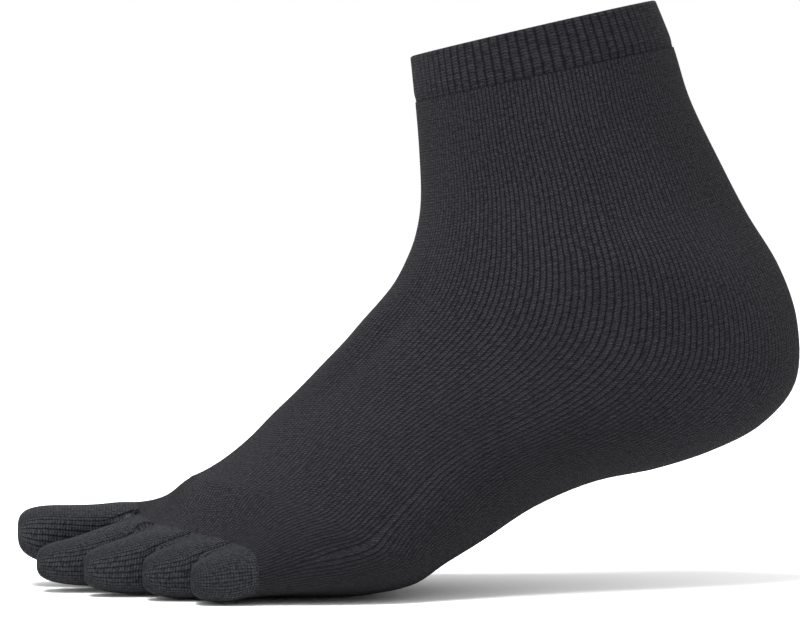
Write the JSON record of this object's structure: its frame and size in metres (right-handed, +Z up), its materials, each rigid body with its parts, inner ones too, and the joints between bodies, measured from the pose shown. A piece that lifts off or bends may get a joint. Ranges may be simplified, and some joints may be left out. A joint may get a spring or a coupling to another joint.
{
  "type": "toe sock",
  "caption": "Ankle-high left toe sock in charcoal knit, shown as worn with the heel raised, with a ribbed cuff and a separate pocket for each toe.",
  "frame": {"origin": "middle of the ankle, inside the hollow, where the sock sits on its wearer", "axes": "+Z up, +X from the toes to the heel, +Y from the little toe to the big toe"},
  "size_m": [0.2351, 0.0902, 0.177],
  "materials": {
    "rib_knit": "matt one-and-one rib knit",
    "leg_knit": "matt plain knit",
    "heel_knit": "matt plain knit",
    "foot_knit": "matt plain knit",
    "toe_knit": "matt plain knit"
  },
  "bodies": {
    "root": {"cuff": "rib_knit", "leg": "leg_knit", "heel_pocket": "heel_knit", "foot": "foot_knit", "forefoot": "foot_knit", "big_toe": "toe_knit", "second_toe": "toe_knit", "third_toe": "toe_knit", "fourth_toe": "toe_knit", "little_toe": "toe_knit"}
  },
  "joints": []
}
